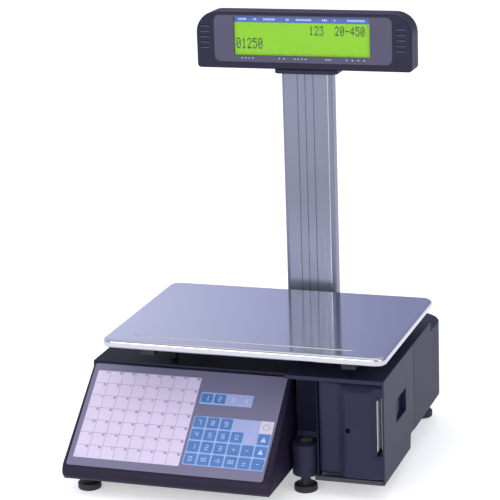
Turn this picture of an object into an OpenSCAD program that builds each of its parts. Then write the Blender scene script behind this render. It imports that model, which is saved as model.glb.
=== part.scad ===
// Retail price scale: weighing platter, sloped keyboard console, label printer cassette, pole display.
// Origin at the centre of the body footprint, on the surface the feet stand on. Front faces -Y.

/* [Body] */
// Overall width across the side walls
body_w = 404; // [396:2:412]
// Overall depth from console skirt to rear wall
body_d = 403; // [399:1:409]
// Height of the underside at the front
front_clear = 22; // [20:1:23]
// Height of the underside at the rear
rear_clear = 41; // [39:1:42]
// Height of the deck under the platter
deck_top = 141; // [139:1:142]
// Height of the printer bay roof
roof_top = 158; // [157:1:159]
// Height of the rear deck round the pole
rear_deck_top = 145; // [144:1:147]
// Plan radius of the rear corners
rear_corner_r = 42; // [36:1:44]
// Wall thickness of the mouldings
wall = 2.6; // [2.2:0.1:3]

/* [Console] */
// Width of the keyboard console
console_w = 278; // [276:1:279]
// Slope of the keyboard from horizontal
console_slope = 40; // [39:0.5:41]
// Height of the front skirt above the underside
skirt_h = 15; // [13:1:16]
// Length of the sloped keyboard face
slope_len = 160; // [158:1:161]

/* [Platter] */
// Platter width
platter_w = 370; // [350:2:372]
// Platter depth
platter_d = 264; // [250:2:268]
// Height of the weighing surface
platter_top = 192; // [191:1:196]
// Depth of the turned-down rim
platter_rim = 11; // [8:1:13]
// Plan radius of the platter corners
platter_r = 15; // [12:1:20]

/* [Pole and display] */
// Pole width
pole_w = 70; // [64:1:74]
// Pole depth
pole_d = 24; // [22:1:28]
// Height of the underside of the display head
head_bottom = 489.5; // [420:0.5:520]
// Display head width
head_w = 295.5; // [290:0.5:300]
// Display head height
head_h = 75.5; // [75:0.5:80]
// Display head depth
head_d = 37; // [35:1:42]

/* [Printer] */
// Radius of the label roll
roll_r = 32; // [24:1:32]
// Width of the label web
web_w = 66; // [56:1:66]

/* [Feet] */
// Radius of a foot pad
foot_r = 15; // [12:0.5:15]
// Thickness of a foot pad
foot_h = 9; // [7:0.5:10]

/* [Hidden] */
$fn = 64;

// Body edges
right = body_w / 2;
left = -right;
rear = body_d / 2;
front = -rear;
console_right = left + console_w;
console_back = front + slope_len * cos(console_slope);
console_top = front_clear + skirt_h + slope_len * sin(console_slope);
printer_front = -131;
niche_back = -85;
bay_left = 114;
bay_back = 21.5;
roof_left = 96;
rear_deck_y = 116;
step_y = 1;
floor_t = 2.5;
front_floor = front_clear + floor_t;
rear_floor = rear_clear + floor_t;
corner_x = right - rear_corner_r;
corner_y = rear - rear_corner_r;

// Platter and load cell
platter_x = 22;
platter_y = -16.5;
platter_mid_y = platter_y + 3;
sheet_t = 1.2;
cell_l = 130;
cell_w = 30;
cell_bottom = 70;
cell_h = 22;
cell_bend = 0.8;
riser_x = platter_x + cell_l / 2 - 15;
spider_bottom = 166;
spider_t = 8;
pad_dx = 132;
pad_dy = 92;

// Pole and display head
pole_x = 31.5;
pole_y = 149.5;
pole_bottom = 90;
head_x = 28.75;
head_y = 152;
head_front = head_y - head_d / 2;
head_rear = head_y + head_d / 2;
head_top = head_bottom + head_h;
window_x0 = -66;
window_x1 = 120.5;
window_z0 = 507.5;
window_z1 = 559.5;

// Middle of the inlet, the free depth in front of its pins, and the pivot of the rocker switch
inlet_x = -135;
inlet_mouth = 8;
rocker_pos = [-99, rear - 5, 69];

// Printer cassette
side_t = 2.4;
side_in = right - side_t;
cover_t = 2.4;
cover_bottom = front_clear + 6;
cover_top = 152;
cover_bevel_z = 141;
slot_x = 192.5;
slot_z0 = 60;
slot_z1 = 136;
frame_left = 116.5;
deck_z = 58;
deck_t = 3;
deck_up = deck_z + deck_t;
plate_z = 136;
plate_t = 2.5;
web_z = 66.5;
web_t = 0.2;
gear_z = 49;
gear_t = 6;
roll_pos = [152, -20];
platen_r = 8;
platen_pos = [185, -112];
rewind_pos = [142, -92];
spool_r = 16;
web_x = platen_pos[0] + platen_r + 0.3;
guide_pos = [190.5, -84];
pivot_pos = [196.6, -87];
lever_pos = [188.5, -97];
motor_plate_z = 45;
run_gap = 0.05;
gear_module = 0.8;
platen_teeth = 20;
idler_teeth = 30;
rewind_teeth = 40;
motor_teeth = 12;

// Level post with its vial, and the housing screw posts with the height of the moulding above them
post_x = 94;
post_y = -109.5;
post_r = 17;
post_top = 63;
vial_pos = [94, -106];
housing_posts = [[-185, 60, deck_top], [-150, 165, rear_deck_top], [150, 165, rear_deck_top],
    [185, 60, roof_top]];

// Feet
foot_fl = [left + 25, front + 31.5];
foot_fm = [94, -112];
foot_rl = [-172, 183];
foot_rr = [172, 183];

function pitch_r(teeth) = gear_module * teeth / 2;
// Centre of a gear that meshes with two others, on the side given by s
function mesh_point(a, ra, b, rb, s) =
    let (d = norm(b - a), u = (b - a) / d, t = (ra * ra - rb * rb + d * d) / (2 * d))
    a + u * t + [-u[1], u[0]] * s * sqrt(ra * ra - t * t);
idler_pos = mesh_point(platen_pos, pitch_r(platen_teeth) + pitch_r(idler_teeth),
    rewind_pos, pitch_r(rewind_teeth) + pitch_r(idler_teeth), 1);
motor_pos = idler_pos + [0, pitch_r(idler_teeth) + pitch_r(motor_teeth)];
function heading(a, b) = atan2(b[1] - a[1], b[0] - a[0]);
function arc(c, r, a0, a1, n) = [for (i = [0:n]) c + r * [cos(a0 + (a1 - a0) * i / n),
    sin(a0 + (a1 - a0) * i / n)]];

// A YZ outline extruded along X, and an XZ outline extruded along Y
module along_x(x0, x1) {
    translate([x0, 0, 0]) rotate([90, 0, 90]) linear_extrude(x1 - x0) children();
}
module along_y(y0, y1) {
    translate([0, y1, 0]) rotate([90, 0, 0]) linear_extrude(y1 - y0) children();
}
module box(a, b) {
    translate(a) cube(b - a);
}
module rod(pos, r, z0, z1) {
    translate([pos[0], pos[1], z0]) cylinder(r = r, h = z1 - z0);
}
module rounded(x0, y0, x1, y1, r) {
    translate([x0 + r, y0]) square([x1 - x0 - 2 * r, y1 - y0]);
    translate([x0, y0 + r]) square([x1 - x0, y1 - y0 - 2 * r]);
    for (x = [x0 + r, x1 - r], y = [y0 + r, y1 - r]) translate([x, y]) circle(r = r);
}
// Local frame on the sloped keyboard: X along the console, Y up the slope, Z out of it
module on_slope() {
    translate([0, front, front_clear + skirt_h]) rotate([console_slope, 0, 0]) children();
}

// Body outline from above, drawn in by i
module body_plan(i) {
    translate([left + i, console_back]) square([body_w - 2 * i, corner_y - console_back]);
    translate([-corner_x, 0]) square([2 * corner_x, rear - i]);
    for (s = [-1, 1]) translate([s * corner_x, corner_y]) circle(r = rear_corner_r - i);
}
// Space above the stepped underside, raised by h
module above_floor(h, top) {
    along_x(left - 1, right + 1) polygon([[front - 1, front_clear + h], [step_y, front_clear + h],
        [step_y + 3, rear_clear + h], [rear + 1, rear_clear + h], [rear + 1, top], [front - 1, top]]);
}
module foot_boss(pos, floor_z) {
    rod(pos, 9, floor_z, floor_z + 14);
}
module foot_bore(pos) {
    rod(pos, 4.05, 0, 70);
}

module base_chassis() color("#2c2a38") difference() {
    union() {
        difference() {
            intersection() {
                translate([0, 0, front_clear]) linear_extrude(60) union() {
                    body_plan(wall + 0.2);
                    translate([left + wall + 0.2, front + wall + 0.2])
                        square([console_w - 2 * wall - 0.4, console_back - front]);
                }
                above_floor(0, 60);
            }
            above_floor(floor_t, 100);
        }
        box([112.2, printer_front, front_clear], [side_in - 0.3, console_back + 1, front_floor]);
        box([console_right + 0.4, niche_back + 0.2, front_clear], [113, console_back + 1, front_floor]);
        box([112.2, printer_front, front_clear], [side_in - 0.3, printer_front + 2.5, cover_bottom - 0.5]);
        foot_boss(foot_fl, front_clear + 1);
        foot_boss(foot_rl, rear_clear + 1);
        foot_boss(foot_rr, rear_clear + 1);
    }
    foot_bore(foot_fl);
    foot_bore(foot_rl);
    foot_bore(foot_rr);
}

module upper_housing() color("#3d3b4c") difference() {
    union() {
        intersection() {
            difference() {
                linear_extrude(roof_top) body_plan(0);
                linear_extrude(rear_deck_top - wall) body_plan(wall);
                box([left + wall, console_back - 1, 0], [right - wall, 0, deck_top - wall]);
                box([roof_left, console_back - 1, 0], [right - wall, rear_deck_y, roof_top - wall]);
                // Space above the deck and above the rear deck
                box([left - 1, console_back - 1, deck_top], [roof_left, rear_deck_y, 200]);
                box([left - 1, rear_deck_y, rear_deck_top], [right + 1, rear + 1, 200]);
            }
            above_floor(0, 300);
        }
        // Deck, roof and the steps between them
        box([left + 1, console_back, deck_top - wall], [roof_left + wall, rear_deck_y + wall, deck_top]);
        box([roof_left, console_back, deck_top - wall], [roof_left + wall, rear_deck_y, roof_top]);
        box([left + 1, rear_deck_y, deck_top - wall], [right - 1, rear_deck_y + wall, rear_deck_top]);
        box([roof_left, niche_back, roof_top - wall], [side_in - 0.3, rear_deck_y, roof_top]);
        box([roof_left, rear_deck_y - wall, deck_top - wall], [right - 1, rear_deck_y, roof_top]);
        box([console_right, printer_front, roof_top - wall], [side_in - 0.3, niche_back + wall, roof_top]);
        // Front fascia and the side of the roof over the niche
        box([console_right, printer_front, cover_top + 1], [side_in - 0.3, printer_front + wall, roof_top]);
        // Wall behind the niche, bay side wall, bay rear wall and posts for the housing screws
        intersection() {
            union() {
                box([console_right, niche_back, 0], [bay_left, niche_back + wall, roof_top - 1]);
                box([console_right, niche_back, 0], [console_right + wall, console_back + 2, roof_top - 1]);
                box([bay_left - wall, -119, 0], [bay_left, bay_back + wall, roof_top - 1]);
                box([bay_left - wall, bay_back, 0], [right - 1, bay_back + wall, roof_top - 1]);
                for (p = housing_posts) rod(p, 5, 0, p[2] - 1);
            }
            above_floor(floor_t + 0.5, 300);
        }
    }
    // Printer bay, open to the front and to the right
    box([bay_left, printer_front - 20, 0], [right + 1, bay_back, cover_top + 1]);
    box([side_in - 0.3, printer_front - 20, 0], [right + 1, bay_back, 200]);
    // Way through the deck for the load cell riser and the pole
    rod([riser_x, platter_y], 19, 100, 200);
    translate([0, 0, 120]) linear_extrude(80)
        rounded(pole_x - pole_w / 2 - 0.4, pole_y - pole_d / 2 - 0.4, pole_x + pole_w / 2 + 0.4,
            pole_y + pole_d / 2 + 0.4, 6.4);
    // Cut-outs in the rear wall for inlet, rocker switch and connectors
    box([-149.8, rear - 10, 55.8], [-89.7, rear + 1, 82.2]);
    box([75.2, rear - 10, 58.2], [149.8, rear + 1, 87.8]);
}

module console_housing() color("#45435a") {
    difference() {
        along_x(left, console_right) polygon(concat(
            [[console_back, front_clear + 0.2], [front + 5, front_clear + 0.2]],
            arc([front + 5, front_clear + 5.2], 5, 270, 180, 8),
            [[front, front_clear + skirt_h], [console_back, console_top]]));
        along_x(left + wall, console_right - wall) polygon([[console_back + 1, front_clear - 1],
            [front + wall, front_clear - 1], [front + wall, front_clear + skirt_h - 1.2],
            [console_back + 1, console_top - 3.6]]);
        on_slope() translate([left + 5, 5, -1]) cube([console_w - 16, slope_len - 9, 5]);
    }
    // Lip along the top edge and down both sides
    on_slope() translate([left + 1, slope_len - 3.2, -1]) cube([console_w - 8, 2.2, 2]);
    on_slope() for (x = [left + 1, console_right - 9]) translate([x, 3, -1]) cube([2.4, slope_len - 4, 1.8]);
    // Bosses that carry the keyboard board
    on_slope() for (x = [left + 20, -62, 55], y = [20, 140])
        translate([x, y, -8]) cylinder(r = 3.5, h = 6);
}
module console_overlay() color("#5e5a72") on_slope()
    translate([left + 5.3, 5.3, -1]) cube([console_w - 16.6, slope_len - 9.6, 0.9]);

// Preset keys: printed sheet in a clear pocket, 8 columns by 7 rows
preset_box = [[-190, 17], [-48, 145]];
module preset_sheet() color("#ddd3ea") on_slope()
    translate([preset_box[0][0], preset_box[0][1], -0.1])
        cube([preset_box[1][0] - preset_box[0][0], preset_box[1][1] - preset_box[0][1], 0.5]);

// Function keys: 6 columns by 4 rows of flat membrane keys
keypad_box = [[-44, 20], [62, 90]];
module function_keypad() color("#4f8fd6") on_slope() {
    pitch_x = (keypad_box[1][0] - keypad_box[0][0]) / 6;
    pitch_y = (keypad_box[1][1] - keypad_box[0][1]) / 4;
    translate([keypad_box[0][0], keypad_box[0][1], -0.1]) cube([6 * pitch_x, 4 * pitch_y, 0.4]);
    for (c = [0:5], r = [0:3])
        translate([keypad_box[0][0] + pitch_x * (c + 0.12), keypad_box[0][1] + pitch_y * (r + 0.12), 0.2])
            cube([pitch_x * 0.76, pitch_y * 0.76, 0.4]);
}
strip_box = [[-43, 108], [27, 125]];
module short_key_strip() color("#8fb0e4") on_slope() {
    pitch_x = (strip_box[1][0] - strip_box[0][0]) / 4;
    translate([strip_box[0][0], strip_box[0][1], -0.1]) cube([4 * pitch_x, 17, 0.4]);
    for (c = [0:3]) translate([strip_box[0][0] + pitch_x * (c + 0.1), strip_box[0][1] + 2.5, 0.2])
        cube([pitch_x * 0.8, 12, 0.4]);
}
module keyboard_board() color("#2f6b45") on_slope() {
    translate([left + 14, 14, -9.6]) cube([console_w - 26, 132, 1.6]);
    translate([-20, 60, -15.6]) cube([14, 14, 6]);
    translate([20, 30, -17.6]) cube([24, 6, 8]);
}

module level_post() color("#3d3b4c") difference() {
    union() {
        translate([0, 0, front_clear]) linear_extrude(post_top - front_clear) union() {
            translate([post_x, post_y]) circle(r = post_r);
            translate([post_x - post_r, post_y]) square([2 * post_r, niche_back - 0.2 - post_y]);
        }
        along_x(post_x - post_r, post_x + post_r) polygon([[-92, post_top - 1], [niche_back - 0.2, post_top - 1],
            [niche_back - 0.2, post_top + 6], [-87, post_top + 6]]);
    }
    foot_bore(foot_fm);
    rod(vial_pos, 11.3, post_top - 3.5, 80);
    // Hollow under the post, clear of the foot's boss
    difference() {
        translate([post_x - post_r + 2.6, -99, front_clear - 1]) cube([2 * post_r - 5.2, 11, 30]);
        rod(foot_fm, 9, 0, 80);
    }
}
module vial_ring() color("#17161c") difference() {
    rod(vial_pos, 11.2, post_top - 3.5, post_top + 1.5);
    rod(vial_pos, 8.2, post_top - 2, post_top + 7);
}
module spirit_vial() color("#b9c46a") rod(vial_pos, 8.1, post_top - 2, post_top + 1.2);

module housing_screws() color("silver") for (p = housing_posts) rod(p, 4, rear_clear - 2.6, rear_clear);

// Single-point load cell: a bar with two linked holes that thin it
module load_cell() color("#c3c6cc") difference() {
    box([platter_x - cell_l / 2, platter_y - cell_w / 2, cell_bottom],
        [platter_x + cell_l / 2, platter_y + cell_w / 2, cell_bottom + cell_h]);
    for (x = [-12, 12]) translate([platter_x + x, platter_y + 30, cell_bottom + cell_h / 2])
        rotate([90, 0, 0]) cylinder(r = 8, h = 60);
    box([platter_x - 12, platter_y - 30, cell_bottom + cell_h / 2 - 3],
        [platter_x + 12, platter_y + 30, cell_bottom + cell_h / 2 + 3]);
}
module load_cell_base() color("#8d9098") {
    box([platter_x - cell_l / 2, platter_y - cell_w / 2, front_floor],
        [platter_x - cell_l / 2 + 34, platter_y + cell_w / 2, cell_bottom]);
    box([platter_x - cell_l / 2 - 16, platter_y - cell_w / 2 - 0.1, front_floor],
        [platter_x - cell_l / 2 + 50, platter_y + cell_w / 2 - 0.1, front_floor + 6]);
}
module overload_stops() color("#9a9aa2") {
    for (y = [-50, 60]) rod([-100, y], 5, deck_top, spider_bottom - 0.9);
    for (y = [-90, 60]) rod([150, y], 5, roof_top, spider_bottom - 0.9);
}
module main_board() color("#2f6b45") {
    box([-98, 30, 56], [-8, 118, 57.6]);
    box([-80, 60, 57.6], [-56, 84, 61]);
    box([-40, 40, 57.6], [-14, 52, 66]);
    box([-90, 100, 57.6], [-50, 112, 68]);
    for (x = [-92, -14], y = [36, 112]) rod([x, y], 3, rear_floor, 56);
}
module power_supply() color("#b7bac0") difference() {
    box([-176, 64, rear_floor], [-104, 152, 88]);
    for (x = [-170:9:-112]) box([x, 74, 86], [x + 4, 142, 90]);
}
module power_inlet() color("#141418") {
    inlet_pins();
    inlet_body();
}
module inlet_body() difference() {
    union() {
        box([-149.5, rear - 22, 56], [-90, rear, 82]);
        box([-154, rear - wall - 1.6, 54], [-86, rear - wall, 84]);
    }
    box([inlet_x - 12, rear - 16, 60.5], [inlet_x + 12, rear + 1, 77.5]);
    box([rocker_pos[0] - 6.2, rear - 17, rocker_pos[2] - 11.7],
        [rocker_pos[0] + 6.2, rear + 1, rocker_pos[2] + 11.7]);
}
// Contact pins of the inlet, the earth pin above the other two
module inlet_pins() {
    for (x = [-7, 0, 7]) translate([inlet_x + x, 0, x == 0 ? 70.5 : 66])
        box([-1, rear - 17, 0], [1, rear - inlet_mouth, 4]);
}
module io_panel() color("#a5a8ae") difference() {
    union() {
        box([71, rear - wall - 1.5, 55], [154, rear - wall, 91]);
        box([75.5, rear - 16, 58.5], [149.5, rear - 0.6, 87.5]);
    }
    box([80, rear - 12, 64], [96, rear + 1, 78]);
    box([102, rear - 12, 66], [122, rear + 1, 78]);
    box([128, rear - 12, 64], [144, rear + 1, 78]);
}
// Rocker switch, resting with its lower half pressed in
module power_rocker() color("#1b1b20") {
    translate(rocker_pos) rotate([-9, 0, 0]) difference() {
        translate([-5.6, -4, -10.5]) cube([11.2, 7, 21]);
        translate([-8, 4.6, 0]) rotate([0, 90, 0]) cylinder(r = 3.2, h = 16);
    }
}

// Channels that the printer's runners slide in
rail_ys = [-108, -8];
module printer_rails() color("#a0a3aa") for (y = rail_ys) difference() {
    box([bay_left + 2, y - 5.2, front_floor], [197, y + 5.2, 35]);
    box([bay_left, y - 4, 32.6], [198, y + 4, 40]);
}

module pole_bracket() color("#8f9299") difference() {
    union() {
        box([pole_x - 60, pole_y - 25, rear_floor], [pole_x + 60, pole_y + 30, rear_floor + 4]);
        box([pole_x - 40, pole_y - 16, rear_floor + 3], [pole_x + 40, pole_y - 12.4, 140]);
        box([pole_x - 40, pole_y + 12.4, rear_floor + 3], [pole_x + 40, pole_y + 16, 140]);
        box([pole_x - 34, pole_y - 14, 84], [pole_x + 34, pole_y + 14, pole_bottom]);
    }
    for (z = [100, 128], x = [-20, 20]) translate([pole_x + x, pole_y - 30, z])
        rotate([-90, 0, 0]) cylinder(r = 2.6, h = 60);
    // Cable outlet under the pole
    rod([pole_x, pole_y], 6, 80, 95);
}
// Grooves along the front and rear faces, as fractions of the width
groove_at = [0.33, 0.48, 0.64, 0.965];
module pole() color("#99a1bb") translate([pole_x, pole_y, pole_bottom]) difference() {
    linear_extrude(head_bottom + 11 - pole_bottom) difference() {
        rounded(-pole_w / 2, -pole_d / 2, pole_w / 2, pole_d / 2, 6);
        rounded(-pole_w / 2 + 3, -pole_d / 2 + 3, -6, pole_d / 2 - 3, 3);
        rounded(-3, -pole_d / 2 + 3, pole_w / 2 - 3, pole_d / 2 - 3, 3);
        for (f = groove_at, s = [-1, 1]) translate([pole_w * (f - 0.5) - 0.7, s * pole_d / 2 - 0.8])
            square([1.4, 1.6]);
    }
    for (z = [100, 128], x = [-20, 20]) translate([x, -30, z - pole_bottom])
        rotate([-90, 0, 0]) cylinder(r = 2.6, h = 60);
}
module pole_screws() color("silver") for (z = [100, 128], x = [-20, 20], s = [-1, 1])
    translate([pole_x + x, pole_y + s * 19, z]) rotate([s * 90, 0, 0]) {
        cylinder(r = 4.6, h = 3);
        cylinder(r = 2.5, h = 9);
    }
// Display cable, from the base up the pole's right channel into the head
module display_cable() color("#222226") rod([pole_x + 12, pole_y], 2.5, pole_bottom + 1, head_bottom + 44);
module neck_collar() color("#3b394a") translate([0, 0, head_bottom - 5.5]) linear_extrude(5.5)
    difference() {
        rounded(pole_x - 43.5, pole_y - 17, pole_x + 43.5, pole_y + 19, 8);
        rounded(pole_x - pole_w / 2 - 0.2, pole_y - pole_d / 2 - 0.2, pole_x + pole_w / 2 + 0.2,
            pole_y + pole_d / 2 + 0.2, 6.2);
    }

// Display head outline, drawn in by i
module head_outline(i) {
    x0 = head_x - head_w / 2;
    x1 = head_x + head_w / 2;
    polygon(concat(
        arc([x0 + 5, head_bottom + 5], 5 - i, 180, 270, 5), arc([x1 - 5, head_bottom + 5], 5 - i, 270, 360, 5),
        arc([x1 - 28, head_top - 28], 28 - i, 0, 90, 12), arc([x0 + 28, head_top - 28], 28 - i, 90, 180, 12)));
}
module head_screw_places() for (x = [head_x - 128, head_x + 128], z = [head_bottom + 9, head_bottom + 48])
    translate([x, 0, z]) children();
// One half of the head: a rounded face, hollow behind it
module head_half() {
    difference() {
        union() {
            along_y(head_front + 9, head_y) head_outline(0);
            hull() {
                along_y(head_front + 9, head_front + 9.5) head_outline(0);
                along_y(head_front + 2.5, head_front + 3) head_outline(0.6);
                along_y(head_front, head_front + 0.5) head_outline(2);
            }
        }
        along_y(head_front + 3, head_y + 1) head_outline(3.6);
        along_y(head_front - 1, head_front + 5)
            translate([window_x0, window_z0]) square([window_x1 - window_x0, window_z1 - window_z0]);
    }
}
module head_front_shell() color("#4a4860") difference() {
    head_half();
    translate([0, 0, head_bottom - 1]) linear_extrude(10)
        rounded(pole_x - pole_w / 2 - 0.2, pole_y - pole_d / 2 - 0.2, pole_x + pole_w / 2 + 0.2,
            pole_y + pole_d / 2 + 0.2, 6.2);
}
module head_rear_shell() color("#403e52") difference() {
    translate([0, 2 * head_y, 0]) mirror([0, 1, 0]) head_half();
    translate([0, 0, head_bottom - 1]) linear_extrude(10)
        rounded(pole_x - pole_w / 2 - 0.2, pole_y - pole_d / 2 - 0.2, pole_x + pole_w / 2 + 0.2,
            pole_y + pole_d / 2 + 0.2, 6.2);
    head_screw_places() translate([0, head_rear + 1, 0]) rotate([90, 0, 0]) cylinder(r = 3.4, h = 5);
}
module head_screws() color("#5b5b63") head_screw_places() translate([0, head_rear - 0.3, 0])
    rotate([90, 0, 0]) cylinder(r = 3.3, h = 3.5);
module head_front_window() color("#c8dc9a") box([window_x0 + 0.1, head_front + 0.8, window_z0 + 0.1],
    [window_x1 - 0.1, head_front + 2.6, window_z1 - 0.1]);
module head_rear_window() color("#c8dc9a") box([window_x0 + 0.1, head_rear - 2.6, window_z0 + 0.1],
    [window_x1 - 0.1, head_rear - 0.8, window_z1 - 0.1]);
module lcd_front() color("#a4dc3c") box([window_x0 - 6, head_front + 3.2, window_z0 - 3],
    [window_x1 + 6, head_front + 10, window_z1 + 1.5]);
module lcd_rear() color("#a4dc3c") box([window_x0 - 6, head_rear - 10, window_z0 - 3],
    [window_x1 + 6, head_rear - 3.2, window_z1 + 1.5]);

// Weighing parts
module platter_spider() color("#1c1c20") {
    rod([riser_x, platter_y], 13, cell_bottom + cell_h + cell_bend, spider_bottom + 1);
    box([platter_x - pad_dx - 9, platter_y - 14, spider_bottom],
        [platter_x + pad_dx + 9, platter_y + 14, spider_bottom + spider_t]);
    for (s = [-1, 1]) box([platter_x + s * pad_dx - 9, platter_y - pad_dy - 9, spider_bottom],
        [platter_x + s * pad_dx + 9, platter_y + pad_dy + 9, spider_bottom + spider_t]);
}
module platter_pads() color("#222226") for (x = [-pad_dx, pad_dx], y = [-pad_dy, pad_dy])
    rod([platter_x + x, platter_y + y], 8, spider_bottom + spider_t, platter_top - sheet_t);
module platter_solid(i, z0, z1) {
    translate([0, 0, z0]) linear_extrude(z1 - z0)
        rounded(platter_x - platter_w / 2 + i, platter_mid_y - platter_d / 2 + i,
            platter_x + platter_w / 2 - i, platter_mid_y + platter_d / 2 - i, platter_r - i);
}
module platter() color("#c9ccd6") difference() {
    platter_solid(0, platter_top - platter_rim, platter_top);
    platter_solid(sheet_t, platter_top - platter_rim - 1, platter_top - sheet_t);
}

// Levelling foot: pad, flared neck and threaded stud up to the floor of the body
module foot(pos, floor_z) color("#131316") {
    translate([pos[0], pos[1], 0]) rotate_extrude() polygon([[0, 0], [foot_r - 1.5, 0], [foot_r, 1.5],
        [foot_r, foot_h - 1.5], [foot_r - 1.5, foot_h], [8, foot_h + 2], [6, foot_h + 6], [5.5, foot_h + 9],
        [5.5, floor_z - 0.4], [4, floor_z - 0.4], [4, floor_z + 14], [0, floor_z + 14]]);
}
module foot_front_left() foot(foot_fl, front_clear);
module foot_front_middle() foot(foot_fm, front_clear);
module foot_rear_left() foot(foot_rl, rear_clear);
module foot_rear_right() foot(foot_rr, rear_clear);

// Printer cassette
module cassette_frame() color("#5b5d66") difference() {
    union() {
        // Deck, side wall, rear wall and top plate
        box([frame_left, -116, deck_z], [198, 18.5, deck_up]);
        box([frame_left, -116, 46], [frame_left + 2.5, 18.5, plate_z + plate_t]);
        box([frame_left, 16, 48], [197, 18.5, plate_z + plate_t]);
        box([frame_left + 2.6, -118, plate_z], [194.6, -80.5, plate_z + plate_t]);
        box([frame_left, -116, plate_z], [frame_left + 4, -80.5, plate_z + plate_t]);
        box([190, -91, plate_z], [199, -80.5, plate_z + plate_t]);
        // Runners with posts up to the deck
        for (y = rail_ys) box([frame_left + 1, y - 3.5, 33], [198, y + 3.5, 38]);
        for (y = rail_ys, x = [124, 196]) rod([x, y], 2, 37, deck_z + 1);
        // Plate under the gears that carries the motor
        box([motor_pos[0] - 18, motor_pos[1] - 13, motor_plate_z],
            [motor_pos[0] + 18, motor_pos[1] + 18, motor_plate_z + 2.5]);
        for (s = [-1, 1]) rod(motor_pos + [s * 14, 15], 2, motor_plate_z + 1, deck_z + 1);
        // Guide pins of the web, spindle axle, idler axle and the head's pivot
        rod(guide_pos, 2.5, deck_z + 1, plate_z + 1);
        rod([176, -120.3], 1.6, deck_z + 1, plate_z + 1);
        box([172, -120, deck_z], [180, -115, deck_up]);
        rod(roll_pos, 3, deck_z + 1, 128);
        rod(idler_pos, 2, gear_z - 0.5, deck_z + 1);
        rod(pivot_pos, 1.5, deck_z + 1, plate_z + 1);
    }
    rod(platen_pos, 2.5 + run_gap, 50, 145);
    rod(rewind_pos, 3 + run_gap, 50, 70);
    rod(lever_pos, 2 + run_gap, 130, 145);
    rod(motor_pos, 6, motor_plate_z - 1, motor_plate_z + 4);
}
// Plan of the front cover's outer face from left to right
cover_path = concat([[116.5, -119.5]], arc([141, -116.5], 11, 250, 285, 4), arc([158.5, -125.5], 9.5, 235, 270, 6),
    arc([180, -124], 11, 270, 330, 8));
module cover_band(i, x_end) {
    polygon(concat([for (p = cover_path) if (p[0] < x_end - 4) p + [0, i]],
        [[x_end, -131 + i], [x_end, -112], [116.5, -112]]));
}
module cover_block(i, x_end) {
    intersection() {
        translate([0, 0, cover_bottom - 1]) linear_extrude(140) cover_band(i, x_end);
        along_x(100, 210) polygon([[-140, cover_bottom - 2 * i], [-140, cover_bevel_z - i],
            [-135, cover_bevel_z - i], [-123.5, cover_top - i], [-113 + i, cover_top - i],
            [-113 + i, cover_bottom - 2 * i]]);
    }
}
module cassette_front_cover() color("#3f3d50") difference() {
    cover_block(0, side_in);
    difference() {
        cover_block(cover_t, side_in - 1.6);
        box([110, -140, 0], [116.5 + cover_t, -100, 200]);
    }
    box([110, -117, 0], [side_in + 1, -100, cover_top - cover_t]);
    box([110, -118, 0], [118.9, -100, 40]);
    // Label slot
    box([slot_x, -140, slot_z0], [side_in + 1, -100, slot_z1]);
    // Round access hole
    translate([157, -100, 92]) rotate([90, 0, 0]) cylinder(r = 3.4, h = 60);
}
finger_y = [-69.5, -20.5];
finger_z = [83, 113];
finger_depth = 8;
module cassette_side_cover() color("#47455a") difference() {
    union() {
        along_x(side_in, right) polygon([[printer_front, front_clear + 0.4], [step_y, front_clear + 0.4],
            [step_y + 3, rear_clear + 0.4], [bay_back - 0.3, rear_clear + 0.4], [bay_back - 0.3, roof_top],
            [printer_front, roof_top]]);
        box([right - finger_depth - 1.5, finger_y[0] - 1.5, finger_z[0] - 1.5],
            [side_in + 1, finger_y[1] + 1.5, finger_z[1] + 1.5]);
        // Lugs that hold the cover on the printer frame
        for (z = [deck_z - 8, plate_z + 2.5]) box([190, -60, z], [side_in + 1, -50, z + 8]);
        box([190, 6, 130], [side_in + 1, 16, 138]);
    }
    box([right - finger_depth, finger_y[0], finger_z[0]], [right + 1, finger_y[1], finger_z[1]]);
}
module drive_motor() color("#4a4d55") difference() {
    union() {
        rod(motor_pos, 12, 27, motor_plate_z);
        rod(motor_pos, 5, motor_plate_z - 1, motor_plate_z + 2);
    }
    rod(motor_pos, 1.5 + run_gap, 30, 60);
}
// Strip of the label web between two points
module strip(a, b) {
    translate([a[0], a[1], web_z]) rotate([0, 0, heading(a, b)]) translate([-web_t / 2, -web_t / 2, 0])
        cube([norm(b - a) + web_t, web_t, web_w]);
}
module label_web() color("#f2f1ec") {
    pin_x = guide_pos[0] + 2.5 + web_t / 2;
    path = [[roll_pos[0] + roll_r + 0.5, roll_pos[1]], [pin_x, guide_pos[1] + 1], [web_x + 0.1, -100],
        [web_x + 0.1, -131.5]];
    for (i = [0:2]) strip(path[i], path[i + 1]);
    back = [[web_x + 0.1, -121.6], [176, -122.3], [rewind_pos[0] + 4, rewind_pos[1] - spool_r - 0.5]];
    for (i = [0:1]) strip(back[i], back[i + 1]);
}
module peel_bar() color("silver") translate([0, 0, deck_up]) linear_extrude(plate_z - deck_up)
    polygon([[web_x - 0.1, -121.4], [web_x - 0.1, -117.6], [190.9, -118.6], [191.4, -120.4]]);
module label_sensor() color("#1d1d22") box([187.5, -101.5, deck_up], [192.6, -95, 104]);
module head_spring() color("silver") for (i = [0:7]) translate([pivot_pos[0], pivot_pos[1], 95 + i * 1.2])
    rotate_extrude() translate([1.9, 0]) circle(r = 0.3, $fn = 16);
module release_lever() color("#3f7fd0") {
    rod(lever_pos, 2, plate_z - 1, plate_z + plate_t + 0.5);
    rod(lever_pos - [0.4, 0], 5.4, plate_z + plate_t + 0.2, plate_z + plate_t + 3.2);
    translate([lever_pos[0], lever_pos[1], plate_z + plate_t + 0.2]) rotate([0, 0, 190])
        translate([0, -3, 0]) cube([22, 6, 3]);
    rod(lever_pos + 22 * [cos(190), sin(190)], 3, plate_z + plate_t + 0.2, plate_z + plate_t + 9);
}
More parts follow.
